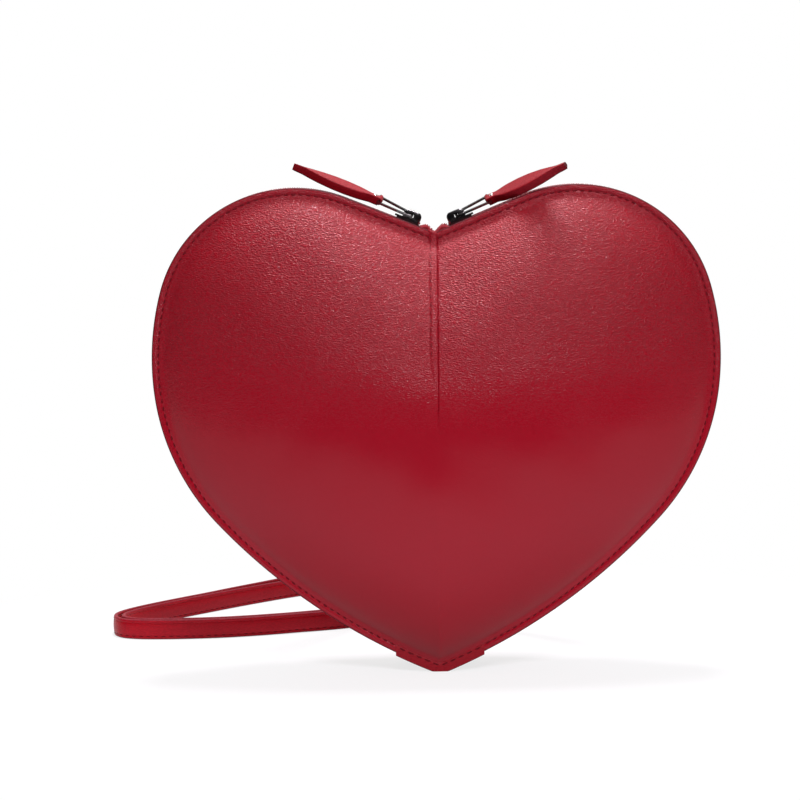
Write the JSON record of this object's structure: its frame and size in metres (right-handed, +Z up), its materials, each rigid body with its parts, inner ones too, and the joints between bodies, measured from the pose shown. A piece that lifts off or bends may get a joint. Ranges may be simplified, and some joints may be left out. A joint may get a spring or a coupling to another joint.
{
  "type": "heart shaped purse",
  "caption": "Heart shaped leather crossbody purse with darted domed panels, a two-way zip over the top with two long leather pulls, and a narrow strap in a loop.",
  "frame": {"origin": "under the point of the heart, halfway between front and back, on the floor", "axes": "+X to the right of the front, +Y to the back, +Z up"},
  "size_m": [0.268, 0.2278, 0.2152],
  "materials": {
    "panel_leather": "glossy grained leather, deep red",
    "trim_leather": "glossy smooth leather, deep red",
    "pull_leather": "glossy smooth leather, deep red",
    "strap_leather": "glossy smooth leather, deep red, painted edges",
    "lining_cloth": "close woven cotton, dark grey",
    "zip_tape": "woven polyester tape, deep red",
    "zip_teeth": "moulded coil, deep red",
    "slider_metal": "polished black nickel",
    "pin_metal": "polished nickel"
  },
  "bodies": {
    "purse": {"front_panel": "panel_leather", "back_panel": "panel_leather", "front_dart": "trim_leather", "back_dart": "trim_leather", "front_lining": "lining_cloth", "back_lining": "lining_cloth", "inner_pocket": "lining_cloth", "gusset": "trim_leather", "gusset_lining": "lining_cloth", "tip_patch": "trim_leather", "front_zip_tape": "zip_tape", "back_zip_tape": "zip_tape", "front_zip_teeth": "zip_teeth", "back_zip_teeth": "zip_teeth", "left_zip_stop": "slider_metal", "right_zip_stop": "slider_metal", "left_anchor": "trim_leather", "right_anchor": "trim_leather", "strap": "strap_leather"},
    "left_runner": {"left_slider": "slider_metal", "left_bridge": "slider_metal"},
    "left_pull": {"left_link": "slider_metal", "left_tab_upper": "pull_leather", "left_tab_lower": "pull_leather", "left_tab_pin": "pin_metal"},
    "right_runner": {"right_slider": "slider_metal", "right_bridge": "slider_metal"},
    "right_pull": {"right_link": "slider_metal", "right_tab_upper": "pull_leather", "right_tab_lower": "pull_leather", "right_tab_pin": "pin_metal"}
  },
  "joints": [
    {"name": "left_zip_run", "type": "slide", "parent": "purse", "child": "left_runner", "axis": [-0.9272, 0, 0.3746], "range_m": [0, 0.021]},
    {"name": "left_pull_swing", "type": "hinge", "parent": "left_runner", "child": "left_pull", "pos_m": [-0.00929, 0, 0.19209], "axis": [0, 1, 0], "range_deg": [0, 62]},
    {"name": "right_zip_run", "type": "slide", "parent": "purse", "child": "right_runner", "axis": [0.9272, 0, 0.3746], "range_m": [0, 0.021]},
    {"name": "right_pull_swing", "type": "hinge", "parent": "right_runner", "child": "right_pull", "pos_m": [0.00929, 0, 0.19209], "axis": [0, -1, 0], "range_deg": [0, 64]}
  ]
}
